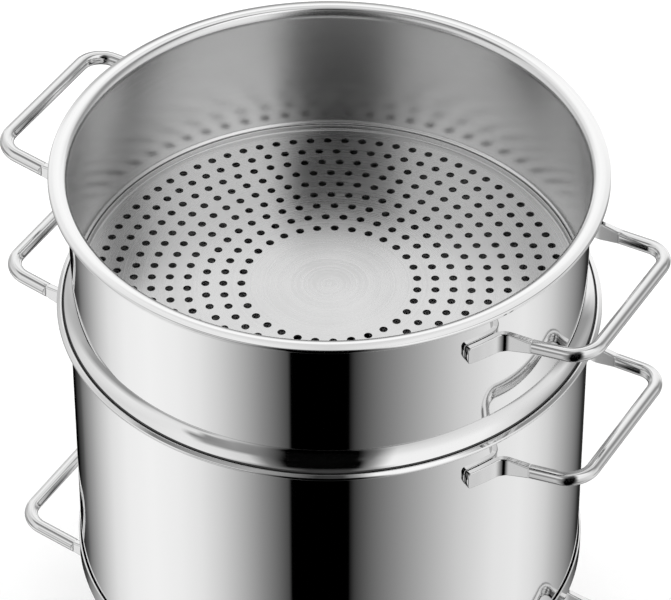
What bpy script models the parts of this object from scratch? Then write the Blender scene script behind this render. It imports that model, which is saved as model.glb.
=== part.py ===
"""Steam juicer: a fruit basket on a juice container on a water pot, in polished steel sheet.

Metres, +Z up. The origin is the middle of the flat base. The handles stand on +X and -X, and the
juice outlet on -Y. Every vessel is modelled from its own underside and then stacked.
"""

import math

import bmesh
import bpy
from mathutils import Matrix, Vector

# Sheet and clearances
SHEET = 0.0009
SEAT_GAP = 0.0003
PLUG_CLEARANCE = 0.0005
CUT_OVERRUN = 0.004
AXIS_TOLERANCE = 0.000001

# Encapsulated base
CAP_RADIUS = 0.112
CAP_CORNER_RADIUS = 0.002
CORE_THICKNESS = 0.005

# Water pot
POT_HEIGHT = 0.117
POT_WALL_RADIUS = 0.1225
POT_CORNER_RADIUS = 0.009
SOCKET_DEPTH = 0.010
LEDGE_FILLET = 0.001
POT_HANDLE_DROP = 0.0431

# Juice container
CONTAINER_HEIGHT = 0.1645
CONTAINER_WALL_RADIUS = 0.130
CONTAINER_RIM_RADIUS = 0.1363
CONTAINER_FOOT_RADIUS = 0.004
CONTAINER_FOOT_FLANGE = 0.006
MOUTH_FILLET = 0.0018
SEAT_STEP_FILLET = 0.00055
RIM_STAND_PROUD = 0.0002
RIM_SLOPE_DROP = 0.0006
RIM_TURN_FILLET = 0.0006
RIM_TURN_DOWN = 0.0012
CONTAINER_HANDLE_DROP = 0.0229

# Floor of the juice container
JUICE_FLOOR_HEIGHT = 0.010
JUICE_FLOOR_EDGE = 0.003
PAN_CORNER_RADIUS = 0.0015
STEAM_HOLE_RADIUS = 0.036

# Steam chimney
CHIMNEY_HEIGHT = 0.115
CHIMNEY_FLANGE_RADIUS = 0.048
CHIMNEY_BASE_RADIUS = 0.040
CHIMNEY_TOP_RADIUS = 0.024
CHIMNEY_FILLET = 0.003

# Juice outlet
OUTLET_BORE_RADIUS = 0.004
OUTLET_TUBE_RADIUS = 0.0052
OUTLET_LENGTH = 0.030
OUTLET_COLLAR_RADIUS = 0.008
OUTLET_COLLAR_THICKNESS = 0.0015
OUTLET_COLLAR_CLEARANCE = 0.0015
BARB_RADIUS = 0.0062
BARB_LENGTH = 0.006

# Fruit basket
BASKET_HEIGHT = 0.0827
BASKET_WALL_RADIUS = 0.1284
BASKET_RIM_RADIUS = 0.1373
RIM_BELL_RADIUS = 0.0065
BASKET_RIM_DROP = 0.0009
NECK_RADIUS = 0.1272
NECK_HEIGHT = 0.0015
NECK_FILLET = 0.0008
WALL_FOOT_HEIGHT = 0.005
WALL_FOOT_RADIUS = 0.009
BASKET_FOOT_RADIUS = 0.1331
BASKET_FOOT_HEIGHT = 0.0098
BASKET_HANDLE_DROP = 0.0255

# Perforated floor of the basket
SIEVE_FLOOR_HEIGHT = 0.0058
SIEVE_EDGE = 0.0034
SIEVE_HOLE_RADIUS = 0.0032
SIEVE_HOLE_PITCH = 0.024
SIEVE_FIRST_RING_RADIUS = 0.044
SIEVE_RING_SPACING = 0.020
SIEVE_RINGS = 4

# Handles
HANDLE_PROJECTION = 0.0347
HANDLE_HALF_WIDTH = 0.0445
LEG_HALF_WIDTH = 0.0485
HANDLE_RISE = 0.0038
HANDLE_CORNER_RADIUS = 0.013
ROD_RADIUS = 0.0035
PLATE_THICKNESS = 0.003
BLADE_HEIGHT = 0.011
BLADE_LENGTH = 0.012
PAD_HEIGHT = 0.0095
PAD_LENGTH = 0.022
BEND_RADIUS = 0.0035
PLATE_TO_ROD_STEP = 0.0004

# Facets
SHELL_SIDES = 48
SMALL_SIDES = 32
TUBE_SIDES = 16
ROD_SIDES = 8
HOLE_SIDES = 6
CHORD_ERROR = 0.00016
PAD_STEPS = 2
SWEEP_STEPS = 5
SHARP_ANGLE = math.radians(40)
PLATE_POWER = 0.35

# Where the handles' bars run, and where each vessel stands
HANDLE_REACH = CONTAINER_WALL_RADIUS + HANDLE_PROJECTION
LEDGE_TOP = POT_HEIGHT - SOCKET_DEPTH
CONTAINER_BASE = LEDGE_TOP + SEAT_GAP
SEAT_TOP = CONTAINER_HEIGHT - RIM_STAND_PROUD - SHEET - SEAT_GAP
BASKET_BASE = SEAT_TOP + SEAT_GAP


def clear_scene():
    """Remove whatever the scene holds, so that the part is alone in it."""
    for obj in list(bpy.data.objects):
        bpy.data.objects.remove(obj)


def metal(name, colour, roughness):
    """A bare metal surface."""
    material = bpy.data.materials.new(name)
    material.use_nodes = True
    shader = material.node_tree.nodes["Principled BSDF"]
    shader.inputs["Base Color"].default_value = (*colour, 1.0)
    shader.inputs["Metallic"].default_value = 1.0
    shader.inputs["Roughness"].default_value = roughness
    return material


def polished_steel(name):
    """Mirror-polished stainless steel."""
    return metal(name, (0.76, 0.76, 0.75), 0.06)


def satin_steel(name):
    """Brushed stainless steel."""
    return metal(name, (0.66, 0.66, 0.65), 0.3)


def cast_aluminium(name):
    """Dull aluminium."""
    return metal(name, (0.80, 0.81, 0.82), 0.45)


def rounded(points):
    """Replace each inner point (a, b, radius) of a polyline by an arc of that radius."""
    ends = [Vector(point[:2]) for point in points]
    path = [ends[0]]
    for before, corner, after, (_, _, radius) in zip(ends, ends[1:], ends[2:], points[1:]):
        arrive = (corner - before).normalized()
        leave = (after - corner).normalized()
        turn = arrive.angle(leave)
        if radius == 0:
            path.append(corner)
            continue
        reach = radius * math.tan(turn / 2)
        middle = corner + (leave - arrive).normalized() * (radius / math.cos(turn / 2))
        start = corner - arrive * reach - middle
        side = math.copysign(1.0, arrive.x * leave.y - arrive.y * leave.x)
        steps = math.ceil(turn / (2 * math.acos(max(0, 1 - CHORD_ERROR / radius))))
        for step in range(steps + 1):
            path.append(middle + Matrix.Rotation(side * turn * step / steps, 2) @ start)
    path.append(ends[-1])
    return path


def offset(path, distance):
    """The same polyline moved sideways, with mitred corners."""
    along = [(after - before).normalized() for before, after in zip(path, path[1:])]
    moved = []
    for point, arrive, leave in zip(path, [along[0]] + along, along + [along[-1]]):
        across = (arrive + leave).normalized()
        normal = Vector((across.y, -across.x))
        moved.append(point + normal * (distance / across.dot(leave)))
    return moved


def sheet_outline(path):
    """The outline of a sheet whose middle line is this path."""
    return offset(path, SHEET / 2) + offset(path, -SHEET / 2)[::-1]


def finish_mesh(bm, name, material):
    """Turn the faces outward, shade them smooth between sharp edges, and make the object."""
    bmesh.ops.recalc_face_normals(bm, faces=bm.faces)
    mesh = bpy.data.meshes.new(name)
    bm.to_mesh(mesh)
    bm.free()
    mesh.shade_smooth()
    mesh.set_sharp_from_angle(angle=SHARP_ANGLE)
    mesh.materials.append(material)
    obj = bpy.data.objects.new(name, mesh)
    bpy.context.scene.collection.objects.link(obj)
    return obj


def turned(name, outline, sides, material):
    """A solid of revolution about Z. An outline that starts on the axis also ends on it."""
    bm = bmesh.new()
    outline = [p if abs(p.x) > AXIS_TOLERANCE else Vector((0, p.y)) for p in outline]
    solid = outline[0].x == 0
    axis_points = {i: bm.verts.new((0, 0, p.y)) for i, p in enumerate(outline) if p.x == 0}
    columns = []
    for side in range(sides):
        angle = 2 * math.pi * side / sides
        column = []
        for index, point in enumerate(outline):
            place = (point.x * math.cos(angle), point.x * math.sin(angle), point.y)
            column.append(axis_points.get(index) or bm.verts.new(place))
        columns.append(column)
    for near, far in zip(columns, columns[1:] + columns[:1]):
        near_loop = near if solid else near + near[:1]
        far_loop = far if solid else far + far[:1]
        for a, b, c, d in zip(near_loop, far_loop, far_loop[1:], near_loop[1:]):
            bm.faces.new(dict.fromkeys((a, b, c, d)))
    return finish_mesh(bm, name, material)


def body(name, parent, height):
    """An empty on the lift axis that carries one vessel's pieces."""
    empty = bpy.data.objects.new(name, None)
    bpy.context.scene.collection.objects.link(empty)
    empty.parent = parent
    empty.location.z = height
    return empty


def place(obj, parent, height, turn=0.0):
    """Stand a piece in its vessel at this height, turned about the vessel's axis."""
    obj.parent = parent
    obj.location.z = height
    obj.rotation_euler.z = turn
    return obj


def cut(target, cutter, solver):
    """Take the cutter's shape out of the target. The cutter stays out of renders."""
    cutter.hide_render = True
    cutter.display_type = "WIRE"
    cutter.parent = target
    boolean = target.modifiers.new(cutter.name, "BOOLEAN")
    boolean.operation = "DIFFERENCE"
    boolean.solver = solver
    boolean.object = cutter


def base_cap():
    """The steel cup under the pot. Its underside is the face that stands on the hob."""
    radius = CAP_RADIUS - SHEET / 2
    top = SHEET + SEAT_GAP + CORE_THICKNESS
    path = [(0, SHEET / 2), (radius, SHEET / 2, CAP_CORNER_RADIUS), (radius, top)]
    return turned("base_cap", sheet_outline(rounded(path)), SHELL_SIDES, polished_steel("cap_steel"))


def base_core():
    """The aluminium disc inside the cap."""
    radius = CAP_RADIUS - SHEET - SEAT_GAP - CAP_CORNER_RADIUS
    outline = [(0, 0), (radius, 0), (radius, CORE_THICKNESS), (0, CORE_THICKNESS)]
    points = [Vector(point) for point in outline]
    return turned("base_core_disc", points, SMALL_SIDES, cast_aluminium("core_aluminium"))


def water_pot_shell(floor):
    """Floor, wall, ledge and upright collar, in one drawn sheet."""
    wall = POT_WALL_RADIUS - SHEET / 2
    collar = CONTAINER_WALL_RADIUS + PLUG_CLEARANCE + SHEET / 2
    ledge = LEDGE_TOP - SHEET / 2
    path = [
        (0, floor + SHEET / 2),
        (wall, floor + SHEET / 2, POT_CORNER_RADIUS),
        (wall, ledge, LEDGE_FILLET),
        (collar, ledge, LEDGE_FILLET),
        (collar, POT_HEIGHT),
    ]
    outline = sheet_outline(rounded(path))
    return turned("water_pot_shell", outline, SHELL_SIDES, polished_steel("pot_steel"))


def container_shell():
    """Wall with a turned-in foot, and a rim with a stepped seat for the basket's foot."""
    wall = CONTAINER_WALL_RADIUS - SHEET / 2
    seat = SEAT_TOP - SHEET / 2
    riser = BASKET_FOOT_RADIUS + SEAT_GAP + SHEET / 2
    crest = CONTAINER_HEIGHT - SHEET / 2
    edge = CONTAINER_RIM_RADIUS - SHEET / 2
    path = [
        (wall - CONTAINER_FOOT_FLANGE, SHEET / 2),
        (wall, SHEET / 2, CONTAINER_FOOT_RADIUS),
        (wall, seat, MOUTH_FILLET),
        (riser, seat, SEAT_STEP_FILLET),
        (riser, crest, SEAT_STEP_FILLET),
        (edge, crest - RIM_SLOPE_DROP, RIM_TURN_FILLET),
        (edge, crest - RIM_SLOPE_DROP - RIM_TURN_DOWN),
    ]
    outline = sheet_outline(rounded(path))
    return turned("container_shell", outline, SHELL_SIDES, polished_steel("container_steel"))


def container_floor():
    """The ring-shaped pan that holds the juice, welded into the wall by its upturned edge."""
    edge = CONTAINER_WALL_RADIUS - SHEET - SEAT_GAP - SHEET / 2
    floor = SHEET / 2
    path = [
        (STEAM_HOLE_RADIUS, floor),
        (edge, floor, PAN_CORNER_RADIUS),
        (edge, JUICE_FLOOR_EDGE),
    ]
    outline = sheet_outline(rounded(path))
    return turned("container_floor", outline, SHELL_SIDES, satin_steel("pan_steel"))


def steam_chimney():
    """The cone that leads steam up through the juice pan."""
    path = [
        (CHIMNEY_FLANGE_RADIUS, SHEET / 2),
        (CHIMNEY_BASE_RADIUS, SHEET / 2, CHIMNEY_FILLET),
        (CHIMNEY_TOP_RADIUS, CHIMNEY_HEIGHT),
    ]
    outline = sheet_outline(rounded(path))
    return turned("steam_chimney", outline, SMALL_SIDES, satin_steel("chimney_steel"))


def juice_outlet():
    """A barbed tube with a weld collar, turned along Z and then laid along -Y."""
    inner_end = CONTAINER_WALL_RADIUS - SHEET
    collar = CONTAINER_WALL_RADIUS + SEAT_GAP
    tip = CONTAINER_WALL_RADIUS + OUTLET_LENGTH
    outline = [
        (OUTLET_BORE_RADIUS, inner_end),
        (OUTLET_TUBE_RADIUS, inner_end),
        (OUTLET_TUBE_RADIUS, collar),
        (OUTLET_COLLAR_RADIUS, collar),
        (OUTLET_COLLAR_RADIUS, collar + OUTLET_COLLAR_THICKNESS),
        (OUTLET_TUBE_RADIUS, collar + OUTLET_COLLAR_THICKNESS),
        (OUTLET_TUBE_RADIUS, tip - BARB_LENGTH),
        (BARB_RADIUS, tip - BARB_LENGTH),
        (OUTLET_TUBE_RADIUS, tip),
        (OUTLET_BORE_RADIUS, tip),
    ]
    points = [Vector(point) for point in outline]
    outlet = turned("juice_outlet", points, TUBE_SIDES, polished_steel("outlet_steel"))
    outlet.data.transform(Matrix.Rotation(math.pi / 2, 4, "X"))
    return outlet


def outlet_hole(height):
    """The cutter for the outlet's hole in the container's wall."""
    radius = OUTLET_TUBE_RADIUS + SEAT_GAP
    near = CONTAINER_WALL_RADIUS - SHEET - CUT_OVERRUN
    far = CONTAINER_WALL_RADIUS + CUT_OVERRUN
    outline = [Vector(point) for point in ((0, near), (radius, near), (radius, far), (0, far))]
    hole = turned("outlet_hole", outline, TUBE_SIDES, satin_steel("cutter"))
    hole.data.transform(Matrix.Rotation(math.pi / 2, 4, "X"))
    hole.data.transform(Matrix.Translation((0, 0, height)))
    return hole


def basket_shell():
    """Bell-mouthed rim, wall and neck, and the foot that sweeps out onto the container's seat."""
    wall = BASKET_WALL_RADIUS - SHEET / 2
    neck = NECK_RADIUS - SHEET / 2
    crest = BASKET_HEIGHT - SHEET / 2
    edge = BASKET_RIM_RADIUS - SHEET / 2
    foot = SHEET / 2
    neck_bottom = BASKET_FOOT_HEIGHT - NECK_HEIGHT
    out = BASKET_FOOT_RADIUS - neck
    down = neck_bottom - foot
    sweep = []
    for step in range(SWEEP_STEPS):
        angle = math.pi / 2 * (1 - step / SWEEP_STEPS)
        radius = neck + out * (1 - math.cos(angle))
        sweep.append((radius, neck_bottom - down * math.sin(angle), 0))
    path = sweep + [
        (neck, neck_bottom, 0),
        (neck, BASKET_FOOT_HEIGHT, NECK_FILLET),
        (wall, BASKET_FOOT_HEIGHT + WALL_FOOT_HEIGHT, WALL_FOOT_RADIUS),
        (wall, crest, RIM_BELL_RADIUS),
        (edge, crest - BASKET_RIM_DROP, RIM_TURN_FILLET),
        (edge, crest - BASKET_RIM_DROP - RIM_TURN_DOWN),
    ]
    outline = sheet_outline(rounded(path))
    return turned("basket_shell", outline, SHELL_SIDES, polished_steel("basket_steel"))


def basket_floor():
    """The perforated pan in the neck. Its middle is left whole above the steam chimney."""
    edge = NECK_RADIUS - SHEET - SEAT_GAP - SHEET / 2
    path = [(0, SHEET / 2), (edge, SHEET / 2, PAN_CORNER_RADIUS), (edge, SIEVE_EDGE)]
    outline = sheet_outline(rounded(path))
    return turned("basket_floor", outline, SHELL_SIDES, satin_steel("sieve_steel"))


def sieve_holes():
    """One cutter with every hole of the perforated floor, in rings of about equal pitch."""
    bm = bmesh.new()
    depth = SHEET + 2 * CUT_OVERRUN
    for ring in range(SIEVE_RINGS):
        radius = SIEVE_FIRST_RING_RADIUS + ring * SIEVE_RING_SPACING
        count = round(2 * math.pi * radius / SIEVE_HOLE_PITCH)
        for index in range(count):
            angle = 2 * math.pi * (index + ring % 2 / 2) / count
            centre = Vector((radius * math.cos(angle), radius * math.sin(angle), SHEET / 2))
            bmesh.ops.create_cone(
                bm,
                cap_ends=True,
                segments=HOLE_SIDES,
                radius1=SIEVE_HOLE_RADIUS,
                radius2=SIEVE_HOLE_RADIUS,
                depth=depth,
                matrix=Matrix.Translation(centre),
            )
    return finish_mesh(bm, "sieve_holes", satin_steel("sieve_cutter"))


def handle_stations(wall_radius):
    """Half the handle's middle line in plan, from the pad's end to the middle of the bar.

    Each station is (u, w, half thickness, half height, power): u out from the vessel's axis, w to
    the side, and a section that goes from a plate (small power) to a round rod (power 1).
    """
    pad_radius = wall_radius + SEAT_GAP + PLATE_THICKNESS / 2
    bend_angle = math.asin(LEG_HALF_WIDTH / pad_radius)
    pad_angle = PAD_LENGTH / pad_radius
    points = []
    for step in range(PAD_STEPS):
        angle = bend_angle + pad_angle * (1 - step / PAD_STEPS)
        points.append((pad_radius * math.cos(angle), pad_radius * math.sin(angle), 0))
    bend = Vector((pad_radius * math.cos(bend_angle), LEG_HALF_WIDTH))
    corner = Vector((HANDLE_REACH, HANDLE_HALF_WIDTH))
    leg = (corner - bend).normalized()
    blade_end = bend + leg * BLADE_LENGTH
    rod_start = blade_end + leg * PLATE_TO_ROD_STEP
    points += [(*bend, BEND_RADIUS), (*blade_end, 0)]
    plate = rounded(points)
    rod = rounded([(*rod_start, 0), (*corner, HANDLE_CORNER_RADIUS), (HANDLE_REACH, 0)])
    stations = []
    for u, w in plate:
        share = min(1, max(0, (math.atan2(w, u) - bend_angle) / pad_angle))
        height = BLADE_HEIGHT + (PAD_HEIGHT - BLADE_HEIGHT) * share
        stations.append((u, w, PLATE_THICKNESS / 2, height / 2, PLATE_POWER))
    for u, w in rod:
        stations.append((u, w, ROD_RADIUS, ROD_RADIUS, 1))
    return stations


def section(angle, half, power):
    """One coordinate of a rounded-box section: half times a signed power of the cosine."""
    return half * math.copysign(abs(round(math.cos(angle), 9)) ** power, math.cos(angle))


def handle(name, wall_radius):
    """A rod bent round a flat-ended U, with its pads against a wall of this radius."""
    half = handle_stations(wall_radius)
    far_half = [(u, -w, *rest) for u, w, *rest in half[-2::-1]]
    stations = half + far_half
    bend_reach = math.sqrt((wall_radius + SEAT_GAP + PLATE_THICKNESS / 2) ** 2 - LEG_HALF_WIDTH**2)
    places = [Vector((u, w)) for u, w, *_ in stations]
    along = [(after - before).normalized() for before, after in zip(places, places[1:])]
    bm = bmesh.new()
    rings = []
    for index, (u, w, thick, tall, power) in enumerate(stations):
        arrive = along[max(index - 1, 0)]
        leave = along[min(index, len(along) - 1)]
        ahead = (arrive + leave).normalized()
        across = Vector((ahead.y, -ahead.x)) / ahead.dot(leave)
        rise = HANDLE_RISE * max(0, u - bend_reach) / (HANDLE_REACH - bend_reach)
        ring = []
        for side in range(ROD_SIDES):
            angle = 2 * math.pi * side / ROD_SIDES
            lateral = across * section(angle, thick, power)
            vertical = section(angle - math.pi / 2, tall, power)
            ring.append(bm.verts.new((u + lateral.x, w + lateral.y, rise + vertical)))
        rings.append(ring)
    for near, far in zip(rings, rings[1:]):
        for a, b, c, d in zip(near, near[1:] + near[:1], far[1:] + far[:1], far):
            bm.faces.new((a, b, c, d))
    bm.faces.new(rings[0])
    bm.faces.new(rings[-1])
    return finish_mesh(bm, name, polished_steel(name + "_steel"))


def add_handles(prefix, wall_radius, parent, height):
    """A handle on +X and its twin on -X."""
    place(handle(prefix + "_handle_right", wall_radius), parent, height)
    place(handle(prefix + "_handle_left", wall_radius), parent, height, math.pi)


def build_water_pot():
    """The root body: the base, the pot and its two handles."""
    pot = body("water_pot", None, 0)
    place(base_cap(), pot, 0)
    core_bottom = SHEET + SEAT_GAP
    place(base_core(), pot, core_bottom)
    place(water_pot_shell(core_bottom + CORE_THICKNESS + SEAT_GAP), pot, 0)
    add_handles("water_pot", POT_WALL_RADIUS, pot, POT_HEIGHT - POT_HANDLE_DROP)
    return pot


def build_container(pot):
    """The juice container, which lifts off the pot."""
    container = body("juice_container", pot, CONTAINER_BASE)
    shell = place(container_shell(), container, 0)
    place(container_floor(), container, JUICE_FLOOR_HEIGHT - SHEET)
    place(steam_chimney(), container, JUICE_FLOOR_HEIGHT + SEAT_GAP)
    collar_top = POT_HEIGHT - CONTAINER_BASE
    outlet_height = collar_top + OUTLET_COLLAR_CLEARANCE + OUTLET_COLLAR_RADIUS
    place(juice_outlet(), container, outlet_height)
    cut(shell, outlet_hole(outlet_height), "EXACT")
    add_handles(
        "container", CONTAINER_WALL_RADIUS, container, CONTAINER_HEIGHT - CONTAINER_HANDLE_DROP
    )
    return container


def build_basket(container):
    """The fruit basket, which lifts off the juice container."""
    basket = body("fruit_basket", container, BASKET_BASE)
    place(basket_shell(), basket, 0)
    sieve = place(basket_floor(), basket, SIEVE_FLOOR_HEIGHT)
    cut(sieve, sieve_holes(), "MANIFOLD")
    add_handles("basket", BASKET_WALL_RADIUS, basket, BASKET_HEIGHT - BASKET_HANDLE_DROP)


def main():
    clear_scene()
    build_basket(build_container(build_water_pot()))


main()
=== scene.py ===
"""Looks of the steam juicer: a fruit basket on a juice container on a water pot.

Metres, +Z up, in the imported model's own frame: the origin is the middle of the flat base, the
handles stand on +X and -X and the juice outlet on -Y. Each vessel is drawn from its own underside
and then lifted to where it stands in the stack.
"""

import logging
import math
from dataclasses import dataclass
from enum import Enum
from functools import cache

import bpy
import numpy as np
from bpy.types import ID, Material, Node, NodeSocket, NodeTree, Object
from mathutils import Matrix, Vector


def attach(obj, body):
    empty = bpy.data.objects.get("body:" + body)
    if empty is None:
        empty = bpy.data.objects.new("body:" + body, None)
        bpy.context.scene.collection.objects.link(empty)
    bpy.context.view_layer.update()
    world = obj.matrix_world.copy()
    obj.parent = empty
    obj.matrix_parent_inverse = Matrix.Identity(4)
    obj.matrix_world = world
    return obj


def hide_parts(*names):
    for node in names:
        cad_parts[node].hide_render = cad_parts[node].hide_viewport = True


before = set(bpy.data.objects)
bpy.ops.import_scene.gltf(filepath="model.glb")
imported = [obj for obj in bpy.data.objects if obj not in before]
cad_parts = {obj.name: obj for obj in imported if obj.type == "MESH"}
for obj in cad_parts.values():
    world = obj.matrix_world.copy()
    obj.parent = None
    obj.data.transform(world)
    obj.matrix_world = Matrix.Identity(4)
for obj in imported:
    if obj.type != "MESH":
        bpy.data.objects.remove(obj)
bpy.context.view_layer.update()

MM = 0.001
LOG = logging.getLogger("steam_juicer")

VIEW_AZIMUTH = 29.5

# The sheet that every vessel is made of, and the room between what is welded or seated.
SHEET = 0.9 * MM
SEAT_GAP = 0.3 * MM
PLUG_CLEARANCE = 0.5 * MM

# How finely round things are cut.
SHELL_SIDES = 288
SMALL_SIDES = 144
TUBE_SIDES = 64
CHORD_ERROR = 0.004 * MM
EDGE_STEPS = 6

# The share of a face's normal that points away from the axis, below which it is an inside wall.
FACING_IN_SHARE = -0.6

# The numbers of a colour Mix node's sockets.
MIX_FIRST, MIX_SECOND, MIX_RESULT = 6, 7, 2

Corner = tuple[float, float, float]
Stops = tuple[tuple[float, int], ...]
Surface = tuple[np.ndarray, list[np.ndarray]]


class Body(Enum):
    """The three vessels that lift off each other, as the record names them."""

    POT = "water_pot"
    CONTAINER = "juice_container"
    BASKET = "fruit_basket"


class Lay(Enum):
    """Which way the marks of the finishing wheel run."""

    TURNED = "round the vessel's axis"
    EVEN = "no direction"


class Side(Enum):
    """The two handles of a vessel: the sign of X that they stand on."""

    RIGHT = 1
    LEFT = -1


# Shapes


def unit(vectors: np.ndarray) -> np.ndarray:
    """The same directions with a length of one."""
    return vectors / np.linalg.norm(vectors, axis=-1, keepdims=True)


def right_of(ways: np.ndarray) -> np.ndarray:
    """The directions a quarter turn to the right of these."""
    return np.stack([ways[..., 1], -ways[..., 0]], axis=-1)


def on_circle(angles: np.ndarray) -> np.ndarray:
    """The points of the unit circle at these angles."""
    return np.stack([np.cos(angles), np.sin(angles)], axis=-1)


def way_along(path: np.ndarray) -> np.ndarray:
    """How far along a polyline each of its points lies."""
    return np.concatenate([[0], np.cumsum(np.linalg.norm(np.diff(path, axis=0), axis=1))])


def between(start: np.ndarray | float, end: np.ndarray | float, share: np.ndarray) -> np.ndarray:
    """The values that lie this share of the way from start to end."""
    return start + (end - start) * share


def filleted(corners: list[Corner]) -> np.ndarray:
    """Round the inner corners of a polyline.

    Each arc is tangent to both neighbours: its centre lies radius / cos(half the turn) from the
    corner, and it is cut in steps whose chords stay within CHORD_ERROR.

    Args:
        corners: radius, height and fillet radius of each corner. The ends are never rounded.

    Returns:
        The points of the line, one row of radius and height each.

    Raises:
        ValueError: if two arcs overlap, or one reaches past an end.
    """
    places = np.array([corner[:2] for corner in corners])
    room = np.linalg.norm(np.diff(places, axis=0), axis=1)
    pieces = [places[:1]]
    for number, (before, corner, after, (_, _, radius)) in enumerate(
        zip(places, places[1:], places[2:], corners[1:])
    ):
        arrive, leave = unit(corner - before), unit(after - corner)
        turn = math.acos(float(np.clip(arrive @ leave, -1, 1)))
        if radius == 0 or turn == 0:
            pieces.append(corner[None])
            continue
        inward = right_of(arrive) * math.copysign(1.0, right_of(arrive) @ leave)
        reach = radius * math.tan(turn / 2)
        room[number : number + 2] -= reach
        centre = corner - arrive * reach + inward * radius
        steps = math.ceil(turn / (2 * math.acos(1 - CHORD_ERROR / radius)))
        swept = np.linspace(0, turn, steps + 1)[:, None]
        pieces.append(centre + radius * (np.sin(swept) * arrive - np.cos(swept) * inward))
    if room.min() <= 0:
        raise ValueError(f"fillets overlap by {-room.min() / MM:.2f} mm")
    return np.concatenate([*pieces, places[-1:]])


def moved_sideways(path: np.ndarray, distance: float) -> np.ndarray:
    """Offset a polyline to its right.

    Each point moves along the bisector of its two segments, by distance / cos(half the turn).

    Args:
        path: the points of the line.
        distance: how far to the right of the way along it.

    Returns:
        As many points, moved.
    """
    along = unit(np.diff(path, axis=0))
    arrive = np.concatenate([along[:1], along])
    leave = np.concatenate([along, along[-1:]])
    across = unit(arrive + leave)
    stretch = 1 / np.sum(across * leave, axis=1)
    return path + right_of(across) * (distance * stretch)[:, None]


def deburred_end(path: np.ndarray) -> np.ndarray:
    """The half circle that rounds the sheet's cut edge, from its right side to its left.

    Args:
        path: the middle line of the sheet, up to that edge.

    Returns:
        The points between the two faces of the sheet, without those on the faces.
    """
    ahead = unit(path[-1] - path[-2])
    swept = np.linspace(0, math.pi, EDGE_STEPS + 1)[1:-1, None]
    return path[-1] + SHEET / 2 * (np.cos(swept) * right_of(ahead) + np.sin(swept) * ahead)


def sheet_outline(path: np.ndarray) -> np.ndarray:
    """The closed outline of a sheet round its middle line, with rounded cut edges.

    Args:
        path: the middle line. If it starts on the axis, the outline stays open there.

    Returns:
        The points of the outline, one row of radius and height each.
    """
    right = moved_sideways(path, SHEET / 2)
    left = moved_sideways(path, -SHEET / 2)[::-1]
    outline = [right, deburred_end(path), left]
    if path[0, 0] > 0:
        outline.append(deburred_end(path[::-1]))
    else:
        right[0, 0] = left[-1, 0] = 0
    return np.concatenate(outline)


def facing_out(points: np.ndarray, faces: list[np.ndarray]) -> list[np.ndarray]:
    """Turn every face round if the closed surface has a negative volume.

    The volume is the sum over the faces of p0 . (p1 x p2) / 6, with each face as a fan of
    triangles.

    Args:
        points: the vertices.
        faces: blocks of faces with as many corners each.

    Returns:
        The faces, facing outward.
    """
    volume = 0.0
    for block in faces:
        for corner in range(1, block.shape[1] - 1):
            swept = np.cross(points[block[:, corner]], points[block[:, corner + 1]])
            volume += float(np.sum(points[block[:, 0]] * swept))
    return faces if volume > 0 else [block[:, ::-1] for block in faces]


def flat_first_normals(points: np.ndarray, faces: list[np.ndarray]) -> np.ndarray:
    """Vertex normals in which a large face outweighs a small one.

    Each face adds its normal times its area squared, so a flat wall stays optically flat right up
    to the narrow strips of the fillet beside it, as it does on a polished sheet. Twice the area
    is the cross product of a quad's diagonals, or of two sides of a triangle.

    Args:
        points: the vertices.
        faces: blocks of faces with as many corners each.

    Returns:
        One unit normal per vertex.
    """
    total = np.zeros_like(points)
    for block in faces:
        middle, last = (2, 3) if block.shape[1] == 4 else (1, 2)
        area = np.cross(
            points[block[:, middle]] - points[block[:, 0]],
            points[block[:, last]] - points[block[:, last - 2]],
        )
        weighted = area * np.linalg.norm(area, axis=1)[:, None]
        for corner in range(block.shape[1]):
            np.add.at(total, block[:, corner], weighted)
    return unit(total)


def in_scene(name: str, data: ID) -> Object:
    """Put a mesh or a camera into the scene, at the origin.

    Args:
        name: the object's name.
        data: the mesh or camera.

    Returns:
        The object.
    """
    obj = bpy.data.objects.new(name, data)
    bpy.context.scene.collection.objects.link(obj)
    return obj


def new_object(name: str, points: np.ndarray, faces: list[np.ndarray]) -> Object:
    """Put a surface that numpy worked out into a mesh object at the origin.

    Args:
        name: the piece's name.
        points: one row per vertex, in the model's frame.
        faces: blocks of faces with as many corners each.

    Returns:
        The object, smooth and with the normals of flat_first_normals.
    """
    faces = facing_out(points, faces)
    loops = np.concatenate([block.ravel() for block in faces])
    sizes = np.concatenate([np.full(len(block), block.shape[1]) for block in faces])
    starts = np.concatenate([[0], np.cumsum(sizes)[:-1]])
    mesh = bpy.data.meshes.new(name)
    mesh.vertices.add(len(points))
    mesh.vertices.foreach_set("co", points.astype(np.float32).ravel())
    mesh.loops.add(len(loops))
    mesh.loops.foreach_set("vertex_index", loops.astype(np.int32))
    mesh.polygons.add(len(starts))
    mesh.polygons.foreach_set("loop_start", starts.astype(np.int32))
    mesh.update(calc_edges=True)
    mesh.shade_smooth()
    mesh.normals_split_custom_set_from_vertices(flat_first_normals(points, faces).tolist())
    return in_scene(name, mesh)


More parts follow.
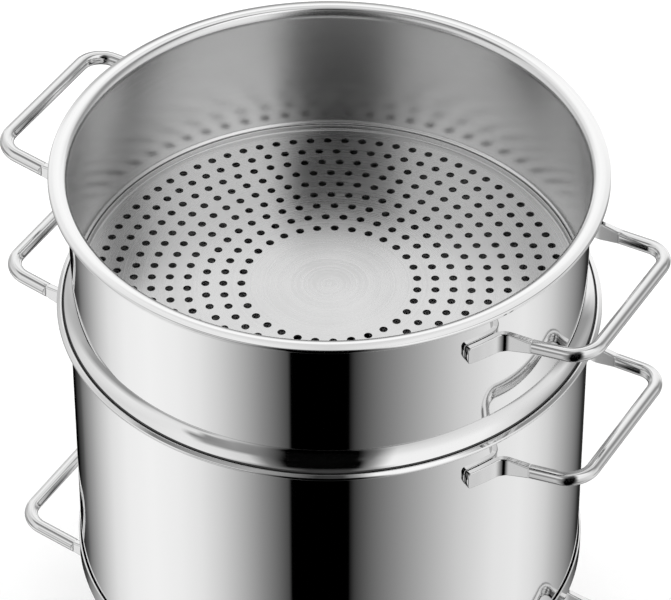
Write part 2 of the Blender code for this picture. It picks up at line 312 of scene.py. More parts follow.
def turned_surface(outline: np.ndarray, sides: int) -> Surface:
    """Spin an outline round Z: x = r cos t, y = r sin t, z = z, for t all the way round.

    Args:
        outline: radius and height of each point. It is closed, or starts and ends on the axis.
        sides: how many steps make the turn.

    Returns:
        The vertices, and the quads and, at the poles, triangles.
    """
    on_axis = outline[0, 0] == 0
    rings = outline[1:-1] if on_axis else outline
    side = np.arange(sides)[:, None]
    angle = 2 * math.pi * side / sides
    x, y = rings[:, 0] * np.cos(angle), rings[:, 0] * np.sin(angle)
    points = np.stack([x, y, np.broadcast_to(rings[:, 1], x.shape)], axis=-1).reshape(-1, 3)
    count = len(rings)
    near = side * count
    far = (side + 1) % sides * count
    step = np.arange(count - 1 if on_axis else count)[None]
    following = (step + 1) % count
    quads = np.stack([near + step, far + step, far + following, near + following], axis=-1)
    if not on_axis:
        return points, [quads.reshape(-1, 4)]
    poles = np.array([[0, 0, outline[0, 1]], [0, 0, outline[-1, 1]]])
    first, last = np.full_like(near, len(points)), np.full_like(near, len(points) + 1)
    start_fan = np.concatenate([near, first, far], axis=1)
    end_fan = np.concatenate([near + count - 1, far + count - 1, last], axis=1)
    fans = np.concatenate([start_fan, end_fan])
    return np.concatenate([points, poles]), [quads.reshape(-1, 4), fans]


def turned_sheet(
    name: str, corners: list[Corner], height: float, sides: int = SHELL_SIDES
) -> Object:
    """A piece of sheet turned round the vessel's axis.

    Args:
        name: the piece's name.
        corners: radius, height and fillet radius along the middle line of the sheet.
        height: how high the piece is lifted in the stack.
        sides: how many steps make the turn.

    Returns:
        The piece.
    """
    points, faces = turned_surface(sheet_outline(filleted(corners)), sides)
    return new_object(name, points + [0, 0, height], faces)


# Finishes


def linear(colour: str) -> tuple[float, float, float, float]:
    """An sRGB hex colour, such as #C0C0C0, as linear light.

    Args:
        colour: the hex colour.

    Returns:
        Linear red, green and blue, and an alpha of one.
    """
    parts = np.array([int(colour[at : at + 2], 16) for at in (1, 3, 5)]) / 255
    low = parts / 12.92
    high = ((parts + 0.055) / 1.055) ** 2.4
    return (*np.where(parts <= 0.04045, low, high).tolist(), 1.0)


def add(tree: NodeTree, kind: str, inputs: dict | None = None, **settings: object) -> Node:
    """Add a node with its settings, values and links.

    Args:
        tree: the node tree.
        kind: the node's type.
        inputs: socket name or number to a value, or to the output socket that feeds it.
        settings: the node's own properties.

    Returns:
        The node.
    """
    node = tree.nodes.new(kind)
    for key, value in settings.items():
        setattr(node, key, value)
    for key, value in (inputs or {}).items():
        if isinstance(value, NodeSocket):
            tree.links.new(value, node.inputs[key])
        else:
            node.inputs[key].default_value = value
    return node


@dataclass(frozen=True)
class Metal:
    """Rolled sheet or bar with a wheel-finished surface.

    Its marks are bands of noise that follow the wheel: on a turned vessel they run round the axis,
    so the noise reads only the distance from the axis and the height. The haze is a slow change
    of the polish over the surface: a coarser noise times the marks goes from roughness to
    roughness plus haze. The marks are drawn coarser than the real grit, so they show.
    """

    name: str
    colour: str
    lay: Lay
    roughness: float
    haze: float
    haze_size: float
    mark_spacing: float
    mark_depth: float
    haze_detail: float = 3.0
    mark_detail: float = 2.0
    faint: float = 0.1
    strong: float = 0.4

    def noise(self, tree: NodeTree, place: NodeSocket, size: float, detail: float) -> NodeSocket:
        """A noise whose lumps are as large as size, as the socket of its values."""
        inputs = {"Vector": place, "Scale": 1 / size, "Detail": detail}
        return add(tree, "ShaderNodeTexNoise", inputs).outputs["Fac"]

    def marks_place(self, tree: NodeTree, place: NodeSocket) -> NodeSocket:
        """Where the noise of the marks is read.

        Args:
            tree: the material's nodes.
            place: the place on the object.

        Returns:
            That place, or for marks round the axis its distance from the axis and its height.
        """
        if self.lay is Lay.EVEN:
            return place
        parts = add(tree, "ShaderNodeSeparateXYZ", {0: place})
        flat = add(tree, "ShaderNodeCombineXYZ", {0: parts.outputs[0], 1: parts.outputs[1]})
        away = add(tree, "ShaderNodeVectorMath", {0: flat.outputs[0]}, operation="LENGTH")
        lifted = {0: away.outputs["Value"], 1: parts.outputs[2]}
        return add(tree, "ShaderNodeCombineXYZ", lifted).outputs[0]

    @cache
    def material(self) -> Material:
        """Build the material, or hand it out again.

        Returns:
            The material.
        """
        material = bpy.data.materials.new(self.name)
        material.use_nodes = True
        tree = material.node_tree
        shader = tree.nodes["Principled BSDF"]
        shader.inputs["Base Color"].default_value = linear(self.colour)
        shader.inputs["Metallic"].default_value = 1.0
        place = add(tree, "ShaderNodeTexCoord").outputs["Object"]
        marks_at = self.marks_place(tree, place)
        marks = self.noise(tree, marks_at, self.mark_spacing, self.mark_detail)
        haze = self.noise(tree, place, self.haze_size, self.haze_detail)
        both = add(tree, "ShaderNodeMath", {0: marks, 1: haze}, operation="MULTIPLY")
        limits = {
            "Value": both.outputs[0],
            "From Min": self.faint,
            "From Max": self.strong,
            "To Min": self.roughness,
            "To Max": self.roughness + self.haze,
        }
        rough = add(tree, "ShaderNodeMapRange", limits)
        bump = add(tree, "ShaderNodeBump", {"Height": marks, "Distance": self.mark_depth})
        tree.links.new(rough.outputs["Result"], shader.inputs["Roughness"])
        tree.links.new(bump.outputs["Normal"], shader.inputs["Normal"])
        return material


# Mirror-polished 18/10 sheet: a nearly colourless mirror with the faintest rings in its gloss.
POLISHED_SHEET = Metal(
    name="polished stainless sheet", colour="#EDEDED", lay=Lay.TURNED, roughness=0.03,
    haze=0.02, haze_size=60 * MM, mark_spacing=1.2 * MM, mark_depth=0.0004 * MM,
)
# Tumble-polished bar of the handles: the same mirror, with no rings.
POLISHED_BAR = Metal(
    name="polished stainless bar", colour="#E4E4E4", lay=Lay.EVEN, roughness=0.05,
    haze=0.04, haze_size=15 * MM, mark_spacing=2.5 * MM, mark_depth=0.0006 * MM,
)
# Brushed sheet of the inner pans: soft, silky reflections drawn out round the axis.
SATIN_SHEET = Metal(
    name="satin stainless sheet", colour="#D6D6D6", lay=Lay.TURNED, roughness=0.22,
    haze=0.12, haze_size=40 * MM, mark_spacing=0.7 * MM, mark_depth=0.004 * MM,
)
# Spun underside of the base, scuffed by hobs.
SPUN_BASE = Metal(
    name="spun stainless base", colour="#D0D0D0", lay=Lay.TURNED, roughness=0.25,
    haze=0.15, haze_size=25 * MM, mark_spacing=0.9 * MM, mark_depth=0.006 * MM,
)
# Inside of the walls: the same sheet before its last polish, so what it mirrors is a little soft.
DRAWN_INSIDE = Metal(
    name="drawn stainless inside", colour="#E2E2E2", lay=Lay.TURNED, roughness=0.2,
    haze=0.05, haze_size=50 * MM, mark_spacing=1 * MM, mark_depth=0.0015 * MM,
)
# Sheared edge and the seat it drops into: rough, never polished; its dark grey is painted gap
# shade.
DULL_EDGE_PAINTED_SHADE = Metal(
    name="sheared stainless edge", colour="#5A5A5A", lay=Lay.TURNED, roughness=0.45,
    haze=0.1, haze_size=10 * MM, mark_spacing=0.8 * MM, mark_depth=0.004 * MM,
)
# Rolled aluminium disc inside the base: duller and whiter than the steel.
ROLLED_ALUMINIUM = Metal(
    name="rolled aluminium disc", colour="#DFE0E2", lay=Lay.EVEN, roughness=0.4,
    haze=0.15, haze_size=20 * MM, mark_spacing=1 * MM, mark_depth=0.01 * MM,
)


def dress(obj: Object, finish: Metal) -> None:
    """Give an object this finish as its only material."""
    obj.data.materials.clear()
    obj.data.materials.append(finish.material())


def dress_part(obj: Object, finish: Metal, part: np.ndarray) -> None:
    """Give some faces of a dressed object a second finish.

    Args:
        obj: the piece, already dressed.
        finish: what those faces have.
        part: True for each face that takes it.
    """
    obj.data.materials.append(finish.material())
    slots = np.zeros(len(part), dtype=np.int32)
    obj.data.polygons.foreach_get("material_index", slots)
    slots[part] = len(obj.data.materials) - 1
    obj.data.polygons.foreach_set("material_index", slots)


def round_the_axis(obj: Object) -> tuple[np.ndarray, np.ndarray, np.ndarray]:
    """Where each face of a turned piece lies and whether it faces the axis.

    Args:
        obj: the piece.

    Returns:
        Each face's distance from the axis, its height, and the share of its normal that points
        away from the axis: -1 on an inner wall, 1 on an outer one.
    """
    count = len(obj.data.polygons)
    centres, normals = np.zeros(count * 3), np.zeros(count * 3)
    obj.data.polygons.foreach_get("center", centres)
    obj.data.polygons.foreach_get("normal", normals)
    centres, normals = centres.reshape(-1, 3), normals.reshape(-1, 3)
    away = np.linalg.norm(centres[:, :2], axis=1)
    outward_share = np.sum(centres[:, :2] * normals[:, :2], axis=1) / away
    return away, centres[:, 2], outward_share


def fit(obj: Object, body: Body, node: str, finish: Metal) -> None:
    """Dress a new piece, let it ride on its vessel and let it stand for its CAD node.

    Args:
        obj: the piece, with its place in its mesh.
        body: the vessel that it moves with.
        node: the CAD node that it replaces.
        finish: what it is made of.
    """
    dress(obj, finish)
    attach(obj, body.value)
    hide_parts(node)
    LOG.info("%s: %d faces, rides on %s", obj.name, len(obj.data.polygons), body.value)


# Handles


@dataclass(frozen=True)
class Handle:
    """A round bar bent to a U, whose ends are pressed flat and spot-welded to the wall.

    In plan it goes along the wall as the pad, round the bend and out as the blade, which is
    pressed flat as far as the heel. Past the heel's shoulder the bar is round. The bar's middle
    stands reach from the axis and rise above the pads.
    """

    reach: float = 164.7 * MM
    half_width: float = 44.5 * MM
    leg_half_width: float = 48 * MM
    rise: float = 3.8 * MM
    corner_radius: float = 13 * MM
    bar_radius: float = 3.5 * MM
    pad_height: float = 9.5 * MM
    pad_length: float = 20.8 * MM
    pad_corner: float = 2 * MM
    pad_thickness: float = 3 * MM
    pad_edge: float = 0.55 * MM
    pad_points: int = 4
    pad_rounding_share: float = 0.5
    bend_radius: float = 7.5 * MM
    blade_length: float = 13.6 * MM
    blade_height: float = 10.8 * MM
    heel_height: float = 7.3 * MM
    heel_thickness: float = 4 * MM
    heel_edge: float = 1.2 * MM
    shoulder: float = 0.7 * MM
    shoulder_bow: float = 1 * MM
    step: float = 0.5 * MM
    fine_step: float = 0.1 * MM
    section_points: int = 40

    def middle_line(self, wall_radius: float) -> tuple[np.ndarray, float]:
        """Half the bar's middle line in plan, from the pad's end to the middle of the bar.

        The pad follows the wall as an arc; then come the bend, the straight leg, the corner and
        half of the bar.

        Args:
            wall_radius: of the wall that carries the handle.

        Returns:
            The points as (u, w), u out from the axis and w to the side, close together over the
            shoulder, and the u of the bend's corner.
        """
        pad_radius = wall_radius + SEAT_GAP + self.pad_thickness / 2
        bend_angle = math.asin(self.leg_half_width / pad_radius)
        pad_angle = self.pad_length / pad_radius
        swept = bend_angle + pad_angle * np.linspace(1, 0, self.pad_points)
        arc = pad_radius * on_circle(swept)
        bend, corner = arc[-1], (self.reach, self.half_width)
        start = [(u, w, self.pad_rounding_share * pad_radius) for u, w in arc[:-1].tolist()]
        rest = [(*bend, self.bend_radius), (*corner, self.corner_radius), (self.reach, 0.0, 0.0)]
        line = filleted(start + rest)
        along = way_along(line)
        heel = self.pad_length + self.blade_length
        round_from = heel + self.shoulder + 2 * self.shoulder_bow
        fine = np.arange(heel - self.step, round_from, self.fine_step)
        coarse = np.linspace(0, along[-1], math.ceil(along[-1] / self.step) + 1)
        far = np.abs(coarse - fine.mean()) > (fine[-1] - fine[0]) / 2 + self.fine_step
        stations = np.sort(np.concatenate([coarse[far], fine]))
        middle = np.stack([np.interp(stations, along, column) for column in line.T], axis=1)
        return middle, bend[0]

    def sections(self, from_end: np.ndarray) -> tuple[np.ndarray, np.ndarray]:
        """The bar's outline at each station, round its middle.

        The pressed section is a rounded box. At an angle t its lateral offset is sign(cos t) times
        half the thickness less the edge radius, plus the edge radius times cos t. The vertical one
        is the same with sin t and the height. From the bend to the heel it goes from a thin tall
        plate to a stout one. Past the heel it gives way to the round bar within the shoulder, a
        little later at the middle of the flat faces. At the pad's end a quarter circle is cut back
        from the half height, which rounds the pad's corners.

        Args:
            from_end: how far along the bar each station lies from the nearer end.

        Returns:
            The lateral and the vertical offsets, each with a row per station.
        """
        pad_share = np.clip(from_end / self.pad_length, 0, 1)
        blade_share = np.clip((from_end - self.pad_length) / self.blade_length, 0, 1)
        corner_share = np.clip(1 - from_end / self.pad_corner, 0, 1)
        cut_back = self.pad_corner * (1 - np.sqrt(1 - corner_share**2))
        height = between(self.pad_height, self.blade_height, pad_share)
        half_height = between(height, self.heel_height, blade_share) / 2 - cut_back
        half_thickness = between(self.pad_thickness, self.heel_thickness, blade_share) / 2
        edge = between(self.pad_edge, self.heel_edge, blade_share)[:, None]
        angle = 2 * math.pi * (np.arange(self.section_points) + 0.5) / self.section_points
        cos, sin = np.cos(angle), np.sin(angle)
        lateral = np.sign(cos) * (half_thickness[:, None] - edge) + edge * cos
        vertical = np.sign(sin) * (half_height[:, None] - edge) + edge * sin
        past = from_end[:, None] - self.pad_length - self.blade_length - self.shoulder_bow * cos**2
        share = np.clip(past / self.shoulder, 0, 1)
        share = share * share * (3 - 2 * share)
        bar = self.bar_radius
        return between(lateral, bar * cos, share), between(vertical, bar * sin, share)

    def surface(self, wall_radius: float, side: Side) -> Surface:
        """Carry the sections along the middle line.

        A point lies its lateral offset across the line in plan, and its vertical offset above
        the line, which climbs evenly from the bend to the bar.

        Args:
            wall_radius: of the wall that carries the handle.
            side: where the handle stands.

        Returns:
            The vertices, and the quads between the sections and the two end sections.
        """
        half, bend_u = self.middle_line(wall_radius)
        line = np.concatenate([half, half[-2::-1] * [1, -1]])
        length = way_along(line)
        lateral, vertical = self.sections(np.minimum(length, length[-1] - length))
        across = right_of(unit(np.gradient(line, length, axis=0)))
        plan = line[:, None] + across[:, None] * lateral[..., None]
        climb = self.rise * np.clip((line[:, 0] - bend_u) / (self.reach - bend_u), 0, 1)
        up = vertical + climb[:, None]
        points = np.concatenate([plan * side.value, up[..., None]], axis=-1)
        index = np.arange(up.size).reshape(up.shape)
        near, far = index[:-1], index[1:]
        quads = np.stack([near, np.roll(near, -1, 1), np.roll(far, -1, 1), far], axis=-1)
        caps = np.stack([index[0, ::-1], index[-1]])
        return points.reshape(-1, 3), [quads.reshape(-1, 4), caps]

    def build(self, name: str, wall_radius: float, height: float, side: Side) -> Object:
        """One handle of a vessel, its ends closed by fans of triangles.

        Args:
            name: the piece's name.
            wall_radius: of the wall that carries the handle.
            height: of the pads' middle in the stack.
            side: where the handle stands.

        Returns:
            The piece.
        """
        points, (quads, caps) = self.surface(wall_radius, side)
        middle = points[caps].mean(axis=1)
        hub = np.array([[len(points)], [len(points) + 1]])
        fans = np.stack([caps, np.roll(caps, -1, 1), np.broadcast_to(hub, caps.shape)], axis=-1)
        solid = np.concatenate([points, middle]) + [0, 0, height]
        return new_object(name, solid, [quads, fans.reshape(-1, 3)])


HANDLE = Handle()


def add_handles(prefix: str, body: Body, wall_radius: float, height: float) -> None:
    """The two handles of a vessel, right and left.

    Args:
        prefix: the vessel's name in the names of its handles.
        body: the vessel that they move with.
        wall_radius: of the vessel's wall.
        height: of the pads' middle in the stack.
    """
    for side in Side:
        word = side.name.lower()
        grip = HANDLE.build(f"{prefix}_grip_{word}", wall_radius, height, side)
        fit(grip, body, f"{prefix}_handle_{word}", POLISHED_BAR)


# Vessels


@dataclass(frozen=True)
class WaterPot:
    """The bottom vessel: a drawn pot with a capped heat-spreading base.

    Its collar stands round the container's foot.
    """

    collar_radius: float
    height: float = 117 * MM
    wall_radius: float = 122.5 * MM
    corner_radius: float = 9 * MM
    socket_depth: float = 10 * MM
    ledge_fillet: float = 1 * MM
    handle_drop: float = 43.1 * MM
    cap_radius: float = 112 * MM
    cap_corner: float = 2 * MM
    core_thickness: float = 5 * MM

    @property
    def ledge_top(self) -> float:
        """Height of the ledge that the juice container stands on."""
        return self.height - self.socket_depth

    def build_base(self) -> None:
        """The steel cup under the pot, and the finish of the disc inside it."""
        radius = self.cap_radius - SHEET / 2
        top = SHEET + SEAT_GAP + self.core_thickness
        corners = [(0, SHEET / 2, 0), (radius, SHEET / 2, self.cap_corner), (radius, top, 0)]
        cap = turned_sheet("hob_base", corners, 0)
        fit(cap, Body.POT, "base_cap", SPUN_BASE)
        dress(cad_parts["base_core_disc"], ROLLED_ALUMINIUM)

    def build_shell(self) -> None:
        """Floor, wall, ledge and upright collar."""
        floor = SHEET + 2 * SEAT_GAP + self.core_thickness + SHEET / 2
        wall = self.wall_radius - SHEET / 2
        ledge = self.ledge_top - SHEET / 2
        collar = self.collar_radius + SHEET / 2
        corners = [
            (0, floor, 0),
            (wall, floor, self.corner_radius),
            (wall, ledge, self.ledge_fillet),
            (collar, ledge, self.ledge_fillet),
            (collar, self.height - SHEET / 2, 0),
        ]
        shell = turned_sheet("pot_wall", corners, 0)
        fit(shell, Body.POT, "water_pot_shell", POLISHED_SHEET)

    def build(self) -> None:
        """All of the pot."""
        self.build_base()
        self.build_shell()
        add_handles("water_pot", Body.POT, self.wall_radius, self.height - self.handle_drop)


@dataclass(frozen=True)
class JuiceContainer:
    """The middle vessel: a ring-shaped pan round a steam chimney, with a drain.

    It stands at base in the stack, socket_depth deep in the pot. The riser is the upright between
    the seat and the rim.
    """

    base: float
    socket_depth: float
    riser_radius: float
    height: float = 164.5 * MM
    wall_radius: float = 130 * MM
    rim_radius: float = 136.3 * MM
    foot_radius: float = 4 * MM
    foot_flange: float = 6 * MM
    mouth_fillet: float = 1.8 * MM
    step_fillet: float = 0.55 * MM
    crest_fillet: float = 0.38 * MM
    stand_proud: float = 0.2 * MM
    slope_drop: float = 1.25 * MM
    turn_fillet: float = 0.6 * MM
    turn_down: float = 0.5 * MM
    polished_lip: float = 3 * MM
    # How far the painted gap shade reaches in over the seat.
    painted_shade_step_width: float = 2 * MM
    step_tolerance: float = 0.1 * MM
    handle_drop: float = 22.9 * MM
    floor_height: float = 10 * MM
    floor_edge: float = 3 * MM
    pan_corner: float = 1.5 * MM
    steam_hole: float = 36 * MM
    chimney_height: float = 115 * MM
    chimney_flange: float = 48 * MM
    chimney_base: float = 40 * MM
    chimney_top: float = 24 * MM
    chimney_fillet: float = 3 * MM
    bore: float = 4 * MM
    tube: float = 5.2 * MM
    tube_bevel: float = 0.4 * MM
    outlet_length: float = 30 * MM
    collar: float = 8 * MM
    collar_thickness: float = 1.5 * MM
    collar_clearance: float = 1.5 * MM
    barb: float = 6.2 * MM
    barb_length: float = 6 * MM

    @property
    def seat(self) -> float:
        """Height, above the container's base, of the step that the basket stands on."""
        return self.height - self.stand_proud - SHEET - SEAT_GAP

    def build_shell(self) -> None:
        """Wall with a turned-in foot, and the rim with its stepped seat."""
        wall = self.wall_radius - SHEET / 2
        seat = self.seat - SHEET / 2
        riser = self.riser_radius + SHEET / 2
        crest = self.height - SHEET / 2
        edge = self.rim_radius - SHEET / 2
        corners = [
            (wall - self.foot_flange, SHEET / 2, 0),
            (wall, SHEET / 2, self.foot_radius),
            (wall, seat, self.mouth_fillet),
            (riser, seat, self.step_fillet),
            (riser, crest, self.crest_fillet),
            (edge, crest - self.slope_drop, self.turn_fillet),
            (edge, crest - self.slope_drop - self.turn_down, 0),
        ]
        shell = turned_sheet("container_wall", corners, self.base)
        fit(shell, Body.CONTAINER, "container_shell", POLISHED_SHEET)
        self.soften_inside_and_paint_seat_shade(shell)

    def soften_inside_and_paint_seat_shade(self, shell: Object) -> None:
        """Give the wall's inside its softer finish, and the seat and its riser the dull one with
        painted gap shade.

        Args:
            shell: the wall, already dressed.
        """
        away, height, outward_share = round_the_axis(shell)
        facing_in = outward_share < FACING_IN_SHARE
        seat = self.base + self.seat
        dress_part(shell, DRAWN_INSIDE, facing_in & (height < seat - self.polished_lip))
        painted_shade_on_step = away > self.riser_radius - self.painted_shade_step_width
        painted_shade_on_step &= height > seat - self.step_tolerance
        inner = facing_in | (away < self.riser_radius)
        # Painted shade: dark grey on the seat and riser, where the basket's foot leaves a shadowed
        # gap.
        dress_part(shell, DULL_EDGE_PAINTED_SHADE, painted_shade_on_step & inner)

    def build_floor(self) -> None:
        """The ring-shaped pan that holds the juice."""
        edge = self.wall_radius - SHEET - SEAT_GAP - SHEET / 2
        corners = [
            (self.steam_hole, SHEET / 2, 0),
            (edge, SHEET / 2, self.pan_corner),
            (edge, self.floor_edge, 0),
        ]
        pan = turned_sheet("juice_pan", corners, self.base + self.floor_height - SHEET)
        fit(pan, Body.CONTAINER, "container_floor", SATIN_SHEET)

    def build_chimney(self) -> None:
        """The cone that leads the steam up through the juice."""
        corners = [
            (self.chimney_flange, SHEET / 2, 0),
            (self.chimney_base, SHEET / 2, self.chimney_fillet),
            (self.chimney_top, self.chimney_height, 0),
        ]
        height = self.base + self.floor_height + SEAT_GAP
        cone = turned_sheet("chimney_cone", corners, height, SMALL_SIDES)
        fit(cone, Body.CONTAINER, "steam_chimney", SATIN_SHEET)

    def build_outlet(self) -> None:
        """The barbed drain tube with its weld collar, above the pot's own collar.

        It is turned round Z and laid down along -Y: (x, y, z) goes to (x, -z, y).
        """
        inner = self.wall_radius - SHEET
        collar = self.wall_radius + SEAT_GAP
        collar_end = collar + self.collar_thickness
        tip = self.wall_radius + self.outlet_length
        barb = tip - self.barb_length
        bevel = self.tube_bevel
        corners = [
            (self.bore, inner, 0),
            (self.tube, inner, bevel),
            (self.tube, collar, bevel / 2),
            (self.collar, collar, bevel),
            (self.collar, collar_end, bevel),
            (self.tube, collar_end, bevel),
            (self.tube, barb, bevel / 2),
            (self.barb, barb, bevel),
            (self.tube, tip, bevel),
            (self.bore, tip, 0),
        ]
        socket_top = self.base + self.socket_depth - SEAT_GAP
        height = socket_top + self.collar_clearance + self.collar
        points, faces = turned_surface(filleted(corners), TUBE_SIDES)
        laid = np.stack([points[:, 0], -points[:, 2], points[:, 1] + height], axis=1)
        spout = new_object("outlet_spout", laid, faces)
        fit(spout, Body.CONTAINER, "juice_outlet", POLISHED_BAR)

    def build(self) -> None:
        """All of the container."""
        self.build_shell()
        self.build_floor()
        self.build_chimney()
        self.build_outlet()
        top = self.base + self.height
        add_handles("container", Body.CONTAINER, self.wall_radius, top - self.handle_drop)


@dataclass(frozen=True)
class FruitBasket:
    """The top vessel: a bell-mouthed wall on a swept foot, with a perforated floor.

    It stands at base in the stack. The sweep is the foot's curve, whose first sweep_share turns
    it by sweep_turn degrees.
    """

    base: float
    height: float = 82.7 * MM
    wall_radius: float = 128.4 * MM
    rim_radius: float = 137.3 * MM
    bell_radius: float = 4.6 * MM
    crown_radius: float = 8.5 * MM
    crown_share: float = 0.68
    crown_below_height: float = 0.74 * MM
    rim_drop: float = 0.9 * MM
    turn_fillet: float = 0.6 * MM
    turn_down: float = 0.9 * MM
    neck_radius: float = 127.2 * MM
    neck_fillet: float = 0.5 * MM
    wall_foot_height: float = 1 * MM
    wall_foot_radius: float = 1 * MM
    foot_radius: float = 133.1 * MM
    foot_height: float = 9.8 * MM
    sweep_share: float = 0.2
    sweep_turn: float = 24.0
    sweep_points: int = 41
    end_slopes: tuple[float, float] = (30.0, 85.0)
    slope_tries: int = 111
    # How far in and up the painted gap shade reaches at the foot's cut edge.
    painted_shade_edge_depth: float = 0.25 * SHEET
    painted_shade_edge_height: float = 1.2 * SHEET
    handle_drop: float = 25.5 * MM
    sieve_height: float = 5.8 * MM
    sieve_edge: float = 3.4 * MM
    pan_corner: float = 1.5 * MM
    hole_radius: float = 2.1 * MM
    hole_pitch: float = 9 * MM
    hole_overrun: float = SHEET
    hole_sides: int = 16
    first_ring: float = 44 * MM
    last_ring: float = 116 * MM
    crease: float = 35.0

    def foot_curve(self, out: float, down: float) -> np.ndarray:
        """The foot's curve from the neck to its edge.

        Its slope t from the vertical grows evenly with length, first fast and then slowly:
        the way out is the sum of sin t along the curve, the way down the sum of cos t. The last
        slope is the one whose curve ends in the wanted proportion, and the length follows.

        Args:
            out: how far the edge lies outside the neck.
            down: how far it lies below.

        Returns:
            Points as (way out, way down), the neck first.
        """
        share = np.linspace(0, 1, self.sweep_points)
        last = np.linspace(*self.end_slopes, self.slope_tries)[:, None]
        grown_share = (share - self.sweep_share) / (1 - self.sweep_share)
        fast = self.sweep_turn * share / self.sweep_share
        slow = between(self.sweep_turn, last, grown_share)
        slope = np.radians(np.where(grown_share < 0, fast, slow))
        steps = np.stack([np.sin(slope), np.cos(slope)])
        steps = (steps[..., 1:] + steps[..., :-1]) / 2
        ends = steps.sum(axis=-1)
        best = np.argmin(np.abs(ends[0] / ends[1] - out / down))
        way = np.concatenate([np.zeros((2, 1)), np.cumsum(steps[:, best], axis=1)], axis=1)
        return (way / way[:, -1:] * [[out], [down]]).T

    def build_shell(self) -> None:
        """Foot, wall and rim in one sheet, softer inside, dull and painted with gap shade at the
        cut edge.
        """
        wall = self.wall_radius - SHEET / 2
        neck = self.neck_radius - SHEET / 2
        crest = self.height - self.crown_below_height - SHEET / 2
        edge = self.rim_radius - SHEET / 2
        tip = self.foot_radius - SHEET / 2
        curve = self.foot_curve(tip - neck, self.foot_height - SHEET / 2)
        corners = [
            *((neck + out, self.foot_height - down, 0.0) for out, down in curve[:0:-1].tolist()),
            (neck, self.foot_height, self.neck_fillet),
            (wall, self.foot_height + self.wall_foot_height, self.wall_foot_radius),
            (wall, crest, self.bell_radius),
            (wall + self.crown_share * (edge - wall), crest, self.crown_radius),
            (edge, crest - self.rim_drop, self.turn_fillet),
            (edge, crest - self.rim_drop - self.turn_down, 0),
        ]
        shell = turned_sheet("basket_wall", corners, self.base)
        fit(shell, Body.BASKET, "basket_shell", POLISHED_SHEET)
        away, height, outward_share = round_the_axis(shell)
        inside = (outward_share < FACING_IN_SHARE) & (height > self.base + self.foot_height)
        dress_part(shell, DRAWN_INSIDE, inside)
        # Painted shade: dark grey on the foot's cut edge, where it meets the container's seat.
        painted_shade_at_cut = (away > tip - self.painted_shade_edge_depth) & (height < self.base + self.painted_shade_edge_height)
        dress_part(shell, DULL_EDGE_PAINTED_SHADE, painted_shade_at_cut)

    def hole_cutter(self) -> Object:
        """Every hole of the sieve as one mesh of many-sided prisms.

        Ring k lies at the radius that grows evenly from the first to the last ring, holds as many
        holes as fit at the pitch, and every second ring is turned by half a hole.

        Returns:
            The cutter.
        """
        rings = round((self.last_ring - self.first_ring) / self.hole_pitch)
        radii = np.linspace(self.first_ring, self.last_ring, rings + 1)
        counts = np.round(2 * math.pi * radii / self.hole_pitch).astype(int)
        ring = np.repeat(np.arange(rings + 1), counts)
        place = np.concatenate([np.arange(count) for count in counts])
        angle = 2 * math.pi * (place + ring % 2 / 2) / counts[ring]
        centres = radii[ring, None] * on_circle(angle)
        turn = 2 * math.pi * np.arange(self.hole_sides) / self.hole_sides
        floor = self.base + self.sieve_height
        heights = np.array([floor - self.hole_overrun, floor + SHEET + self.hole_overrun])
        points = np.zeros((len(angle), 2, self.hole_sides, 3))
        points[..., :2] = (centres[:, None] + self.hole_radius * on_circle(turn))[:, None]
        points[..., 2] = heights[:, None]
        index = np.arange(points[..., 0].size).reshape(-1, 2, self.hole_sides)
        low, high = index[:, 0], index[:, 1]
        walls = np.stack([low, np.roll(low, -1, 1), np.roll(high, -1, 1), high], axis=-1)
        faces = [walls.reshape(-1, 4), low[:, ::-1], high]
        return new_object("sieve_cutter", points.reshape(-1, 3), faces)

    def build_sieve(self) -> None:
        """The perforated pan in the neck, whole in the middle above the steam chimney.

        A ring of vertices just inside its corner keeps the floor's shading flat up to there.
        """
        edge = self.neck_radius - SHEET - SEAT_GAP - SHEET / 2
        corners = [
            (0, SHEET / 2, 0),
            (edge - 2 * self.pan_corner, SHEET / 2, 0),
            (edge, SHEET / 2, self.pan_corner),
            (edge, self.sieve_edge, 0),
        ]
        sieve = turned_sheet("basket_sieve", corners, self.base + self.sieve_height)
        cutter = self.hole_cutter()
        boolean = sieve.modifiers.new("holes", "BOOLEAN")
        boolean.solver = "MANIFOLD"
        boolean.object = cutter
        graph = bpy.context.evaluated_depsgraph_get()
        cut = bpy.data.meshes.new_from_object(sieve.evaluated_get(graph))
        sieve.modifiers.clear()
        sieve.data = cut
        cut.shade_smooth()
        cut.set_sharp_from_angle(angle=math.radians(self.crease))
        bpy.data.objects.remove(cutter)
        fit(sieve, Body.BASKET, "basket_floor", SATIN_SHEET)

    def build(self) -> None:
        """All of the basket."""
        self.build_shell()
        self.build_sieve()
        top = self.base + self.height
        add_handles("basket", Body.BASKET, self.wall_radius, top - self.handle_drop)


# Studio


